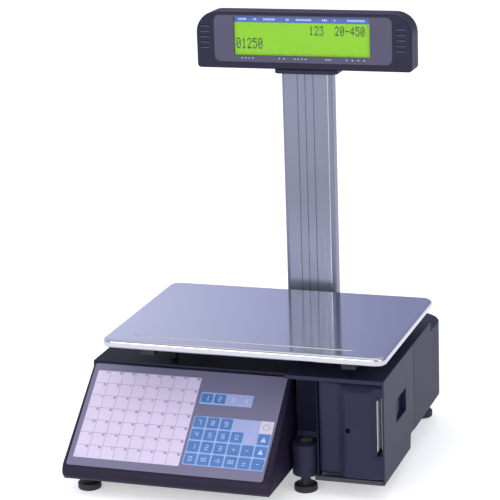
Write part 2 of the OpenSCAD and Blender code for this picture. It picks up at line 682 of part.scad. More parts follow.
module thermal_head() color("#c9b48a") box([web_x + 0.5, -117, 67], [web_x + 2.1, -101, 132]);
module head_bracket() color("#a9acb3") difference() {
    union() {
        box([web_x + 2.1, -118, 64], [web_x + 3.9, -89.3, 134.5]);
        box([web_x + 2.1, -100, 134], [web_x + 3.9, -94, 143]);
        for (z = [[66, 92], [108, 134]]) rod(pivot_pos, 2.7, z[0], z[1]);
    }
    rod(pivot_pos, 1.5 + run_gap, 60, 140);
}
module supply_spindle() color("#33405c") difference() {
    union() {
        rod(roll_pos, 27, deck_up + 0.5, deck_up + 2.5);
        rod(roll_pos, 12.4, deck_up + 0.5, 126);
    }
    rod(roll_pos, 3 + run_gap, 60, 140);
}
module label_roll() color("#efeee8") difference() {
    rod(roll_pos, roll_r, web_z, web_z + web_w);
    rod(roll_pos, 12.5, web_z - 1, web_z + web_w + 1);
}

// Spur gear with straight-flanked teeth; a tooth points along the angle a
module gear(pos, teeth, a, bore) {
    r = pitch_r(teeth);
    step = 360 / teeth;
    translate([pos[0], pos[1], gear_z]) rotate([0, 0, a]) linear_extrude(gear_t) difference() {
        polygon([for (i = [0:teeth - 1], k = [[-0.29, -1.15], [-0.1, 0.8], [0.1, 0.8], [0.29, -1.15]])
            (r + k[1] * gear_module) * [cos(step * (i + k[0])), sin(step * (i + k[0]))]]);
        circle(r = bore);
    }
}
// Tooth angle of gear b that puts a gap opposite a tooth of gear a on their centre line
a_platen = heading(platen_pos, idler_pos);
a_idler = heading(idler_pos, platen_pos) + 180 / idler_teeth;
// Phase of the idler's teeth along the line to another gear, handed on to that gear
function meshed(from_a, from_teeth, line, teeth) =
    line + 180 + 180 / teeth + ((line - from_a) % (360 / from_teeth)) * from_teeth / teeth;
a_rewind = meshed(a_idler, idler_teeth, heading(idler_pos, rewind_pos), rewind_teeth);
a_motor = meshed(a_idler, idler_teeth, heading(idler_pos, motor_pos), motor_teeth);

module rewind_spool() color("#33405c") {
    rod(rewind_pos, 3, gear_z - 1, 130);
    rod(rewind_pos, 19, deck_up + 0.5, deck_up + 2.3);
    rod(rewind_pos, 6, deck_up + 0.5, 132);
    gear(rewind_pos, rewind_teeth, a_rewind, 2);
}
module rewound_backing() color("#e9e2c4") difference() {
    rod(rewind_pos, spool_r, web_z, web_z + web_w);
    rod(rewind_pos, 6, web_z - 1, web_z + web_w + 1);
}
module platen_shaft() color("silver") rod(platen_pos, 2.5, gear_z - 2, plate_z + plate_t);
module platen_roller() color("#26262b") difference() {
    rod(platen_pos, platen_r, 64, 134);
    rod(platen_pos, 2.5, 60, 140);
}
module platen_gear() color("#dcdcd2") gear(platen_pos, platen_teeth, a_platen, 2.5);
module idler_gear() color("#dcdcd2") gear(idler_pos, idler_teeth, a_idler, 2 + run_gap);
module motor_gear() color("#b98f4a") {
    gear(motor_pos, motor_teeth, a_motor, 1);
    rod(motor_pos, 1.5, 31, gear_z + gear_t);
}

base_chassis();
upper_housing();
console_housing();
console_overlay();
preset_sheet();
function_keypad();
short_key_strip();
keyboard_board();
level_post();
vial_ring();
spirit_vial();
housing_screws();
load_cell();
load_cell_base();
overload_stops();
main_board();
power_supply();
power_inlet();
io_panel();
printer_rails();
pole_bracket();
pole();
pole_screws();
display_cable();
neck_collar();
head_front_shell();
head_rear_shell();
head_front_window();
head_rear_window();
lcd_front();
lcd_rear();
head_screws();
power_rocker();
platter_spider();
platter_pads();
platter();
foot_front_left();
foot_front_middle();
foot_rear_left();
foot_rear_right();
cassette_frame();
cassette_front_cover();
cassette_side_cover();
drive_motor();
label_web();
peel_bar();
label_sensor();
head_spring();
release_lever();
thermal_head();
head_bracket();
supply_spindle();
label_roll();
rewind_spool();
rewound_backing();
platen_roller();
platen_shaft();
platen_gear();
idler_gear();
motor_gear();
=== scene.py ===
import math

import bmesh
import bpy
from mathutils import Matrix, Vector


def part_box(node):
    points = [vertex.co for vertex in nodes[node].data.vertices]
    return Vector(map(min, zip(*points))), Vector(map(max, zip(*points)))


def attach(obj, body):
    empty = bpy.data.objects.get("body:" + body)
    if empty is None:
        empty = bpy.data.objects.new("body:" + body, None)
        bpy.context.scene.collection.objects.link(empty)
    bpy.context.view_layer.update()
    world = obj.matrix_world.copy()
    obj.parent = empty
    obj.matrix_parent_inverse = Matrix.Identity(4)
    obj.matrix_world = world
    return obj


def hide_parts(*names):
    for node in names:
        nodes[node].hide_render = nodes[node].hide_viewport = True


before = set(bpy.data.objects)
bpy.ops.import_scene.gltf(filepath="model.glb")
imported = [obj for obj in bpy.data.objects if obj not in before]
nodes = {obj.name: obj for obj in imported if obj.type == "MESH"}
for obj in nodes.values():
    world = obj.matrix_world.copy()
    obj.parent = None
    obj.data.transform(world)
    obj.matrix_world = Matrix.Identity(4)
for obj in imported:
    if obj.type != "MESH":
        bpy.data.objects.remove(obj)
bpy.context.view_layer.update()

MM = 0.001

# Driving sizes in millimetres, in the CAD frame
BODY_RIGHT = 202.0
BODY_FRONT = -201.5
BODY_REAR = 201.5
REAR_CORNER = 42.0
CONSOLE_RIGHT = 76.0
CONSOLE_BACK = -78.9
UNDERSIDE = 22.2
SKIRT_TOP = 37.0
SLOPE_DEG = 40.0
SLOPE_LEN = 160.0
SLOPE = math.radians(SLOPE_DEG)
DECK_TOP = 141.0
ROOF_TOP = 158.0
REAR_DECK_TOP = 145.0
POLE_X = 31.5
POLE_Y = 149.5


# ---------------------------------------------------------------- mesh helpers
def new_piece(name, bm):
    """Turns a bmesh in millimetres into an object in metres."""
    bmesh.ops.scale(bm, vec=(MM, MM, MM), verts=bm.verts)
    bmesh.ops.recalc_face_normals(bm, faces=bm.faces)
    mesh = bpy.data.meshes.new(name)
    bm.to_mesh(mesh)
    bm.free()
    obj = bpy.data.objects.new(name, mesh)
    bpy.context.scene.collection.objects.link(obj)
    return obj


def apply_modifier(obj, kind, **settings):
    """Adds a modifier, bakes its result into the mesh and takes it off again."""
    modifier = obj.modifiers.new(kind, kind)
    for key, value in settings.items():
        setattr(modifier, key, value)
    graph = bpy.context.evaluated_depsgraph_get()
    mesh = bpy.data.meshes.new_from_object(obj.evaluated_get(graph))
    mesh.name = obj.name
    obj.modifiers.clear()
    obj.data = mesh


def combine(obj, other, operation):
    """Joins or cuts obj with another solid, which is then removed."""
    apply_modifier(obj, "BOOLEAN", operation=operation, solver="EXACT", object=other)
    bpy.data.objects.remove(other)


def cut(obj, *others):
    for other in others:
        combine(obj, other, "DIFFERENCE")


def bevel(obj, width, segments=3, angle=35.0):
    apply_modifier(obj, "BEVEL", width=width * MM, segments=segments, limit_method="ANGLE",
                   angle_limit=math.radians(angle), use_clamp_overlap=True, harden_normals=False)


def shade(obj, angle=38.0):
    """Smooth shading with crisp edges, and flat faces that stay flat next to rounded ones."""
    obj.data.shade_smooth()
    obj.data.set_sharp_from_angle(angle=math.radians(angle))
    apply_modifier(obj, "WEIGHTED_NORMAL", keep_sharp=True, weight=80)


def place(axis, p, t):
    """Point p of an outline at position t along an axis."""
    if axis == "x":
        return (t, p[0], p[1])
    if axis == "y":
        return (p[0], t, p[1])
    return (p[0], p[1], t)


def loft_into(bm, rings, closed=False):
    """Skins rings of equal length; the ends are capped unless the rings close on themselves."""
    made = [[bm.verts.new(p) for p in ring] for ring in rings]
    count = len(made[0])
    last = len(made) if closed else len(made) - 1
    for k in range(last):
        low = made[k]
        high = made[(k + 1) % len(made)]
        for i in range(count):
            j = (i + 1) % count
            bm.faces.new((low[i], low[j], high[j], high[i]))
    if not closed:
        bm.faces.new(made[0][::-1])
        bm.faces.new(made[-1])


def loft(name, rings):
    bm = bmesh.new()
    loft_into(bm, rings)
    return new_piece(name, bm)


def prism(name, points, axis, low, high):
    return loft(name, [[place(axis, p, t) for p in points] for t in (low, high)])


def rect(x0, y0, x1, y1, r=0.0, steps=6):
    """A rectangle with rounded corners, counter-clockwise."""
    if r <= 0:
        return [(x0, y0), (x1, y0), (x1, y1), (x0, y1)]
    centres = ((x1 - r, y0 + r, -90), (x1 - r, y1 - r, 0), (x0 + r, y1 - r, 90), (x0 + r, y0 + r, 180))
    return [p for cx, cy, a in centres for p in arc(cx, cy, r, a, a + 90, steps)]


def arc(cx, cy, r, a0, a1, steps):
    turn = [math.radians(a0 + (a1 - a0) * i / steps) for i in range(steps + 1)]
    return [(cx + r * math.cos(a), cy + r * math.sin(a)) for a in turn]


def block(name, low, high, r=0.0):
    """A box between two corners, with its upright edges rounded."""
    return prism(name, rect(low[0], low[1], high[0], high[1], r), "z", low[2], high[2])


def lathe(name, centre, profile, steps=56):
    """Turns a profile of (radius, height) pairs about an upright axis."""
    bm = bmesh.new()
    rings = []
    for r, z in profile:
        if r < 1e-6:
            rings.append([bm.verts.new((centre[0], centre[1], z))])
            continue
        angles = [2 * math.pi * i / steps for i in range(steps)]
        points = [(centre[0] + r * math.cos(a), centre[1] + r * math.sin(a), z) for a in angles]
        rings.append([bm.verts.new(p) for p in points])
    for low, high in zip(rings, rings[1:]):
        for i in range(steps):
            j = (i + 1) % steps
            corners = [low[i % len(low)], low[j % len(low)], high[j % len(high)], high[i % len(high)]]
            bm.faces.new(list(dict.fromkeys(corners)))
    return new_piece(name, bm)


def soften(name, node, rules):
    """A rounded copy of a CAD solid. Each rule is (radius, segments, test of the two edge ends in mm)."""
    bm = bmesh.new()
    bm.from_mesh(nodes[node].data)
    bmesh.ops.remove_doubles(bm, verts=bm.verts, dist=1e-6)
    bmesh.ops.dissolve_limit(bm, angle_limit=math.radians(0.6), verts=bm.verts, edges=bm.edges)
    bmesh.ops.scale(bm, vec=(1 / MM, 1 / MM, 1 / MM), verts=bm.verts)
    for width, segments, test in rules:
        sharp = [e for e in bm.edges if e.is_manifold and e.calc_face_angle(0) > math.radians(32)]
        chosen = [e for e in sharp if test(e.verts[0].co, e.verts[1].co)]
        bmesh.ops.bevel(bm, geom=chosen, offset=width, offset_type="OFFSET", segments=segments, profile=0.5,
                        affect="EDGES", clamp_overlap=True)
    return new_piece(name, bm)


def join(name, pieces):
    """Joins separate solids into one object."""
    bm = bmesh.new()
    for piece in pieces:
        bm.from_mesh(piece.data)
        bpy.data.objects.remove(piece)
    bmesh.ops.scale(bm, vec=(1 / MM, 1 / MM, 1 / MM), verts=bm.verts)
    return new_piece(name, bm)


def finish(obj, material, slot, body, *replaced):
    """Gives a piece its material and body, and hides the CAD nodes that it stands for. The slot argument is
    not used.
    """
    obj.data.materials.clear()
    obj.data.materials.append(material)
    if replaced:
        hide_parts(*replaced)
    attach(obj, body)
    return obj


# ------------------------------------------------------------------- materials
def link_noise(tree, scale, detail=3.0, stretch=(1, 1, 1), rough=0.5):
    """A noise texture in object space, in cells per metre."""
    coords = tree.nodes.new("ShaderNodeTexCoord")
    mapping = tree.nodes.new("ShaderNodeMapping")
    mapping.inputs["Scale"].default_value = stretch
    noise = tree.nodes.new("ShaderNodeTexNoise")
    noise.inputs["Scale"].default_value = scale
    noise.inputs["Detail"].default_value = detail
    noise.inputs["Roughness"].default_value = rough
    tree.links.new(coords.outputs["Object"], mapping.inputs["Vector"])
    tree.links.new(mapping.outputs["Vector"], noise.inputs["Vector"])
    return noise.outputs["Fac"]


def link_range(tree, value, low, high, start=0.3, end=0.7):
    """Maps the middle of a texture's range to low ... high."""
    node = tree.nodes.new("ShaderNodeMapRange")
    node.inputs["From Min"].default_value = start
    node.inputs["From Max"].default_value = end
    node.inputs["To Min"].default_value = low
    node.inputs["To Max"].default_value = high
    tree.links.new(value, node.inputs["Value"])
    return node.outputs["Result"]


def link_mix(tree, factor, a, b):
    """Blends two colours, each a colour or another node's output."""
    node = tree.nodes.new("ShaderNodeMix")
    node.data_type = "RGBA"
    tree.links.new(factor, node.inputs["Factor"])
    for socket, value in ((node.inputs[6], a), (node.inputs[7], b)):
        if isinstance(value, tuple):
            socket.default_value = value + (1.0,)
        else:
            tree.links.new(value, socket)
    return node.outputs[2]


def shade_of(color, factor):
    return tuple(min(1.0, c * factor) for c in color)


def surface(name, color, rough, metal=0.0, mottle=0.06, patch=25.0, grain=1400.0, bump=0.12, depth=0.05,
            stretch=(1, 1, 1), rough_span=0.06, wear=0.0, edge_wear_and_highlight_color=None, **sockets):
    """A material with fine grain, patches of slightly different colour, uneven gloss, and lighter edges that
    are partly wear and partly a painted highlight.
    """
    material = bpy.data.materials.new(name)
    material.use_nodes = True
    tree = material.node_tree
    shader = tree.nodes["Principled BSDF"]
    shader.inputs["Metallic"].default_value = metal
    for key, value in sockets.items():
        shader.inputs[key.replace("_", " ")].default_value = value
    patches = link_range(tree, link_noise(tree, patch, 4.0), 0.0, 1.0)
    tint = link_mix(tree, patches, shade_of(color, 1 - mottle), shade_of(color, 1 + mottle))
    fine = link_noise(tree, grain, 2.0, stretch)
    # Sharp edges are painted lighter: partly rubbed wear, partly a painted highlight standing in for edge
    # glints.
    if wear > 0:
        geometry = tree.nodes.new("ShaderNodeNewGeometry")
        edges = link_range(tree, geometry.outputs["Pointiness"], 0.0, wear, 0.52, 0.6)
        tint = link_mix(tree, edges, tint, edge_wear_and_highlight_color or shade_of(color, 1.7))
    tree.links.new(tint, shader.inputs["Base Color"])
    gloss = link_range(tree, fine, rough - rough_span, rough + rough_span)
    tree.links.new(gloss, shader.inputs["Roughness"])
    relief = tree.nodes.new("ShaderNodeBump")
    relief.inputs["Strength"].default_value = bump
    relief.inputs["Distance"].default_value = depth * MM
    tree.links.new(fine, relief.inputs["Height"])
    tree.links.new(relief.outputs["Normal"], shader.inputs["Normal"])
    return material


def rings_surface(name, color, dark, centre, pitch):
    """Wound paper: fine rings about an upright axis on the ends, plain paper round the outside."""
    material = surface(name, color, 0.75, grain=900, bump=0.2)
    tree = material.node_tree
    shader = tree.nodes["Principled BSDF"]
    coords = tree.nodes.new("ShaderNodeTexCoord")
    mapping = tree.nodes.new("ShaderNodeMapping")
    mapping.inputs["Location"].default_value = (-centre[0] * MM, -centre[1] * MM, 0)
    wave = tree.nodes.new("ShaderNodeTexWave")
    wave.wave_type = "RINGS"
    wave.rings_direction = "Z"
    wave.inputs["Scale"].default_value = 1000.0 / pitch / 6.2832
    wave.inputs["Distortion"].default_value = 0.6
    tree.links.new(coords.outputs["Object"], mapping.inputs["Vector"])
    tree.links.new(mapping.outputs["Vector"], wave.inputs["Vector"])
    tree.links.new(link_mix(tree, wave.outputs["Fac"], dark, color), shader.inputs["Base Color"])
    return material


def board_surface(name):
    """Green solder mask with darker runs of copper under it."""
    base = (0.035, 0.16, 0.07)
    material = surface(name, base, 0.35, grain=2200, bump=0.08)
    tree = material.node_tree
    shader = tree.nodes["Principled BSDF"]
    coords = tree.nodes.new("ShaderNodeTexCoord")
    brick = tree.nodes.new("ShaderNodeTexBrick")
    brick.inputs["Scale"].default_value = 90.0
    brick.inputs["Mortar Size"].default_value = 0.06
    brick.inputs["Color1"].default_value = base + (1,)
    brick.inputs["Color2"].default_value = shade_of(base, 0.8) + (1,)
    brick.inputs["Mortar"].default_value = shade_of(base, 1.9) + (1,)
    tree.links.new(coords.outputs["Object"], brick.inputs["Vector"])
    tree.links.new(brick.outputs["Color"], shader.inputs["Base Color"])
    return material


def glow(material, color, strength):
    """A lit panel: an even glow set on the shader itself."""
    shader = material.node_tree.nodes["Principled BSDF"]
    shader.inputs["Emission Color"].default_value = color + (1.0,)
    shader.inputs["Emission Strength"].default_value = strength
    return material


# Colours are tuned to this studio, whose floor glows: the plastics are darker here than the real ones.
PLUM = (0.018, 0.0165, 0.042)
# The mouldings' edges are painted lighter: partly wear, partly a painted highlight.
MOULDED = {"wear": 0.3, "grain": 1500, "bump": 0.22, "depth": 0.06, "mottle": 0.05,
           "Specular_IOR_Level": 0.35, "IOR": 1.35}
M = {
    "shell": surface("Housing_Plastic", PLUM, 0.55, **MOULDED),
    "console": surface("Console_Plastic", (0.015, 0.011, 0.03), 0.52, **MOULDED),
    "cover": surface("Cover_Plastic", (0.018, 0.017, 0.046), 0.5, **MOULDED),
    "head": surface("Head_Plastic", (0.018, 0.016, 0.039), 0.5, **MOULDED),
    # Near-black deck top under the platter: a painted shadow standing in for the shade beneath the platter.
    "deck": surface("Deck_Painted_Shade", (0.006, 0.0055, 0.011), 0.6, grain=900, bump=0.4, depth=0.08, mottle=0.1,
                    Specular_IOR_Level=0.2),
    # Parts under the platter are coloured near black so that they vanish into its shade: painted shade.
    "shade_black_metal": surface("Black_Metal_Painted_Shade", (0.016, 0.015, 0.02), 0.5, metal=0.2, grain=1100, bump=0.35,
                      mottle=0.12),
    "chassis": surface("Chassis_Plastic", (0.03, 0.029, 0.042), 0.55, bump=0.3, depth=0.08),
    "film": surface("Overlay_Film", (0.175, 0.166, 0.27), 0.5, grain=2600, bump=0.1, mottle=0.03, patch=9),
    "panel": surface("Head_Panel_Film", (0.055, 0.05, 0.1), 0.4, grain=2600, bump=0.08, mottle=0.03, patch=9),
    "preset": surface("Preset_Paper", (0.67, 0.59, 0.8), 0.42, grain=900, bump=0.08, mottle=0.03,
                      Coat_Weight=0.3),
    "preset_line": surface("Preset_Line", (0.36, 0.3, 0.46), 0.5, grain=900, bump=0.08, mottle=0.1),
    "ink": surface("Dark_Ink", (0.07, 0.055, 0.11), 0.5, grain=1500, bump=0.05, mottle=0.15),
    "key_field": surface("Key_Field_Film", (0.33, 0.45, 0.76), 0.4, grain=2200, bump=0.06, mottle=0.04),
    "key_blue": surface("Key_Blue_Film", (0.075, 0.19, 0.48), 0.38, grain=2200, bump=0.08, mottle=0.08,
                        patch=60),
    "key_pale": surface("Key_Pale_Film", (0.37, 0.41, 0.7), 0.38, grain=2200, bump=0.08, mottle=0.06,
                        patch=60),
    "key_white": surface("Key_White_Film", (0.63, 0.61, 0.7), 0.38, grain=2200, bump=0.08, mottle=0.03),
    "white_ink": surface("White_Ink", (0.5, 0.62, 0.88), 0.45, grain=1500, bump=0.04, mottle=0.05),
    "caption": surface("Caption_Film", (0.045, 0.11, 0.42), 0.45, grain=2600, bump=0.05, mottle=0.06),
    "steel": surface("Platter_Steel", (0.52, 0.53, 0.58), 0.1, metal=1.0, grain=900, bump=0.01, depth=0.01,
                     stretch=(0.04, 1, 1), mottle=0.02, patch=6, rough_span=0.035),
    "pole": surface("Pole_Aluminium", (0.2, 0.215, 0.29), 0.36, metal=0.6, grain=900, bump=0.12, depth=0.03,
                    stretch=(1, 1, 0.02), mottle=0.03, patch=8, rough_span=0.06),
    "zinc": surface("Zinc_Steel", (0.62, 0.63, 0.66), 0.3, metal=1.0, mottle=0.08, bump=0.15),
    "cast": surface("Cast_Aluminium", (0.5, 0.51, 0.54), 0.45, metal=1.0, grain=700, bump=0.35, depth=0.12),
    "folded": surface("Folded_Steel", (0.5, 0.52, 0.55), 0.36, metal=1.0, grain=260, bump=0.12,
                      stretch=(1, 0.08, 1)),
    "supply": surface("Supply_Steel", (0.46, 0.48, 0.5), 0.4, metal=0.9, grain=300, bump=0.12, patch=40,
                      mottle=0.12),
    "rubber": surface("Pad_Rubber", (0.014, 0.014, 0.016), 0.62, grain=1100, bump=0.4, depth=0.1,
                      mottle=0.15),
    "black": surface("Black_Plastic", (0.012, 0.012, 0.015), 0.42, grain=1300, bump=0.2, mottle=0.1,
                     wear=0.3),
    "cable": surface("Cable_Jacket", (0.018, 0.018, 0.02), 0.5, grain=900, bump=0.25),
    "frame": surface("Frame_Plastic", (0.12, 0.125, 0.15), 0.5, grain=1200, bump=0.25, wear=0.25),
    "spool": surface("Spool_Plastic", (0.035, 0.055, 0.12), 0.42, grain=1200, bump=0.2, wear=0.25),
    "lever": surface("Lever_Plastic", (0.05, 0.22, 0.62), 0.35, grain=1300, bump=0.15, wear=0.25),
    "gear": surface("Gear_Nylon", (0.72, 0.71, 0.63), 0.42, grain=900, bump=0.15, Subsurface_Weight=0.08),
    "brass": surface("Pinion_Brass", (0.68, 0.45, 0.16), 0.28, metal=1.0, grain=500, bump=0.1, mottle=0.1),
    "motor": surface("Motor_Steel", (0.09, 0.095, 0.11), 0.35, metal=0.7, grain=700, bump=0.2, mottle=0.1),
    "ceramic": surface("Head_Ceramic", (0.12, 0.1, 0.09), 0.25, grain=1600, bump=0.08, Coat_Weight=0.4),
    "paper": surface("Label_Paper", (0.86, 0.85, 0.84), 0.6, grain=1300, bump=0.15, mottle=0.02),
    "roll": rings_surface("Label_Roll_Paper", (0.84, 0.83, 0.8), (0.66, 0.64, 0.58), (152, -20), 0.9),
    "backing": rings_surface("Backing_Paper", (0.76, 0.68, 0.46), (0.56, 0.48, 0.3), (142, -92), 0.9),
    "board": board_surface("Circuit_Board"),
    "lcd": glow(surface("LCD_Panel", (0.21, 0.49, 0.015), 0.4, grain=2500, bump=0.03, mottle=0.05, patch=14,
                        Specular_IOR_Level=0.1), (0.28, 0.66, 0.03), 0.1),
    "lcd_ink": surface("LCD_Ink", (0.02, 0.05, 0.012), 0.45, grain=1500, bump=0.03, mottle=0.2),
    "fluid": surface("Vial_Fluid", (0.14, 0.145, 0.12), 0.12, grain=600, bump=0.02, mottle=0.08,
                     Transmission_Weight=0.35, Coat_Weight=0.6),
    "window": surface("Display_Window", (0.8, 0.85, 0.8), 0.06, grain=1800, bump=0.01, mottle=0.02,
                      rough_span=0.02, Alpha=0.015, Specular_IOR_Level=0.12),
    "floor": glow(surface("Pale_Floor", (0.95, 0.95, 0.95), 0.75, grain=60, bump=0.02, mottle=0.006,
                          patch=1.2),
                  (1.0, 1.0, 1.0), 0.42),
}
M["window"].surface_render_method = "BLENDED"


# -------------------------------------------------------------- body mouldings
def both(a, b, test):
    return test(a) and test(b)


def near(value, target, within=0.15):
    return abs(value - target) < within


def on_outer_plan(p):
    """On the outside of the side and rear walls, with their rounded rear corners."""
    dx = abs(p.x) - (BODY_RIGHT - REAR_CORNER)
    dy = p.y - (BODY_REAR - REAR_CORNER)
    if dx > 0 and dy > 0:
        return near(math.hypot(dx, dy), REAR_CORNER, 0.4)
    return near(abs(p.x), BODY_RIGHT, 0.3) or near(p.y, BODY_REAR, 0.3)


def make_upper_housing():
    def rear_rim(a, b):
        return both(a, b, lambda p: near(p.z, REAR_DECK_TOP) and on_outer_plan(p) and p.y > 116.5)

    def left_rim(a, b):
        return both(a, b, lambda p: near(p.x, -BODY_RIGHT) and near(p.z, DECK_TOP))

    def steps(a, b):
        rise = both(a, b, lambda p: near(p.y, 116) and near(p.z, REAR_DECK_TOP))
        roof = both(a, b, lambda p: near(p.z, ROOF_TOP))
        corner = both(a, b, lambda p: near(p.x, CONSOLE_RIGHT) and p.y < -84)
        return rise or roof or corner

    obj = soften("Body_Housing", "upper_housing", [(5.0, 5, rear_rim), (5.0, 5, left_rim), (1.3, 3, steps)])
    shade(obj)
    finish(obj, M["shell"], "housing_plastic", "body", "upper_housing")
    # Upward deck faces under the platter get the near-black material: a painted shadow.
    obj.data.materials.append(M["deck"])
    for face in obj.data.polygons:
        if near(face.center.z / MM, DECK_TOP, 0.5) and face.normal.z > 0.9:
            face.material_index = 1


def make_console():
    """The sloped keyboard moulding: drafted sides, rounded edges and a recess for the overlay."""
    edge = 4.5
    top = UNDERSIDE - 0.2 + 15 + SLOPE_LEN * math.sin(SLOPE)

    def profile(inset):
        y_front = BODY_FRONT + inset
        z_low = UNDERSIDE + 0.3 + inset
        z_bend = SKIRT_TOP - inset * math.tan(SLOPE / 2) * 0.4
        bend = 7.0
        outline = [(CONSOLE_BACK, z_low)]
        outline += arc(y_front + 5, z_low + 5, 5, 270, 180, 5)
        outline.append((y_front, z_bend - bend))
        for i in range(1, 6):
            t = i / 6
            start = Vector((y_front, z_bend - bend))
            end = Vector((y_front + bend * math.cos(SLOPE), z_bend + bend * math.sin(SLOPE)))
            turn = Vector((y_front, z_bend))
            p = start * (1 - t) ** 2 + turn * 2 * t * (1 - t) + end * t ** 2
            outline.append((p.x, p.y))
        outline.append((y_front + bend * math.cos(SLOPE), z_bend + bend * math.sin(SLOPE)))
        back_z = top - inset * (1 / math.cos(SLOPE))
        crown = 2.5
        outline.append((CONSOLE_BACK - crown, back_z - crown * math.tan(SLOPE)))
        outline.append((CONSOLE_BACK - 0.7, back_z - crown * math.tan(SLOPE) * 0.55))
        outline.append((CONSOLE_BACK, back_z - crown * math.tan(SLOPE) * 1.1))
        return outline

    def wall_x(z, side):
        rise = (z - UNDERSIDE) / (top - UNDERSIDE)
        return CONSOLE_RIGHT - 6.0 * rise if side > 0 else -BODY_RIGHT + 1.5 * rise

    rings = []
    turns = 5
    for side in (-1, 1):
        order = range(turns + 1) if side < 0 else range(turns, -1, -1)
        for i in order:
            a = math.pi / 2 * i / turns
            inset = edge * (1 - math.sin(a))
            back = edge * (1 - math.cos(a))
            outline = profile(inset)
            rings.append([(wall_x(z, side) - side * back, y, z) for y, z in outline])
    obj = loft("Console_Housing", rings)
    plan = rect(-197.0, 4.9, 65.2, 156.1, 3.5)
    recess = loft("recess", [[(x, v, w) for x, v in plan] for w in (-1.3, 6.0)])
    recess.data.transform(slope_matrix())
    cut(obj, recess)
    bevel(obj, 0.45, 2, 50)
    shade(obj)
    return finish(obj, M["console"], "console_plastic", "body", "console_housing")


def slope_matrix():
    """From the keyboard's own frame (x, up the slope, out of it) to the row frame, in metres."""
    origin = Matrix.Translation((0, BODY_FRONT * MM, SKIRT_TOP * MM))
    return origin @ Matrix.Rotation(SLOPE, 4, "X")


def on_slope(obj):
    obj.data.transform(slope_matrix())
    return obj


def tile(x0, v0, x1, v1, low, high, r=0.0):
    """Rings of a thin plate on the keyboard, as [outline at low, outline at high]."""
    return [[(x, v, w) for x, v in rect(x0, v0, x1, v1, r, 4)] for w in (low, high)]


def plates(name, all_rings):
    """Many separate thin plates in one object, on the slope."""
    bm = bmesh.new()
    for rings in all_rings:
        loft_into(bm, rings)
    return on_slope(new_piece(name, bm))


SEGMENTS = {"0": "abcdef", "1": "bc", "2": "abged", "3": "abgcd", "4": "fgbc", "5": "afgcd", "6": "afgedc",
            "7": "abc", "8": "abcdefg", "9": "abcfgd", "-": "g", "+": "gv", "=": "gd"}


def strokes(text, x, v, height, thick, low, high):
    """Bar-shaped digits as thin plates, from a lower left corner."""
    width = height * 0.56
    made = []
    bars = {"a": (0, 1, 1, 1), "g": (0, 0.5, 1, 0.5), "d": (0, 0, 1, 0), "f": (0, 0.5, 0, 1),
            "b": (1, 0.5, 1, 1), "e": (0, 0, 0, 0.5), "c": (1, 0, 1, 0.5), "v": (0.5, 0.2, 0.5, 0.8)}
    half = thick / 2
    for k, sign in enumerate(text):
        left = x + k * width * 1.6
        for bar in SEGMENTS[sign]:
            ax, av, bx, bv = bars[bar]
            made.append(tile(left + ax * width - half, v + av * height - half, left + bx * width + half,
                             v + bv * height + half, low, high))
    return made


def make_overlay():
    obj = loft("Console_Overlay_Film", tile(-196.7, 5.3, 64.7, 155.7, -1.2, -0.35, 3.0))
    on_slope(obj)
    bevel(obj, 0.2, 2)
    shade(obj)
    finish(obj, M["film"], "overlay_film", "body", "console_overlay")


PRESET = (-190.0, 17.0, -48.0, 145.0)
PRESET_COLS = 8
PRESET_ROWS = 7


def make_preset_sheet():
    x0, v0, x1, v1 = PRESET
    obj = on_slope(loft("Preset_Sheet", tile(x0, v0, x1, v1, -0.4, 0.0, 1.0)))
    shade(obj)
    finish(obj, M["preset"], "preset_paper", "body", "preset_sheet")
    step_x = (x1 - x0) / PRESET_COLS
    step_v = (v1 - v0) / PRESET_ROWS
    line = 0.32
    margin = 0.6
    low, high = -0.02, 0.05
    lines = []
    for c in range(1, PRESET_COLS):
        x = x0 + c * step_x
        lines.append(tile(x - line, v0 + margin, x + line, v1 - margin, low, high))
    for r in range(1, PRESET_ROWS):
        v = v0 + r * step_v
        lines.append(tile(x0 + margin, v - line, x1 - margin, v + line, low, high))
    grid = plates("Preset_Grid_Lines", lines)
    finish(grid, M["preset_line"], "preset_paper", "body")
    numbers = []
    for r in range(PRESET_ROWS):
        for c in range(PRESET_COLS):
            text = "%02d" % (r * PRESET_COLS + c + 1)
            left = x0 + (c + 1) * step_x - 5.4
            top = v1 - r * step_v - 3.4
            numbers += strokes(text, left, top, 2.3, 0.42, low, 0.07)
    finish(plates("Preset_Numbers", numbers), M["ink"], "preset_paper", "body")


KEYPAD = (-44.0, 20.0, 62.0, 90.0)


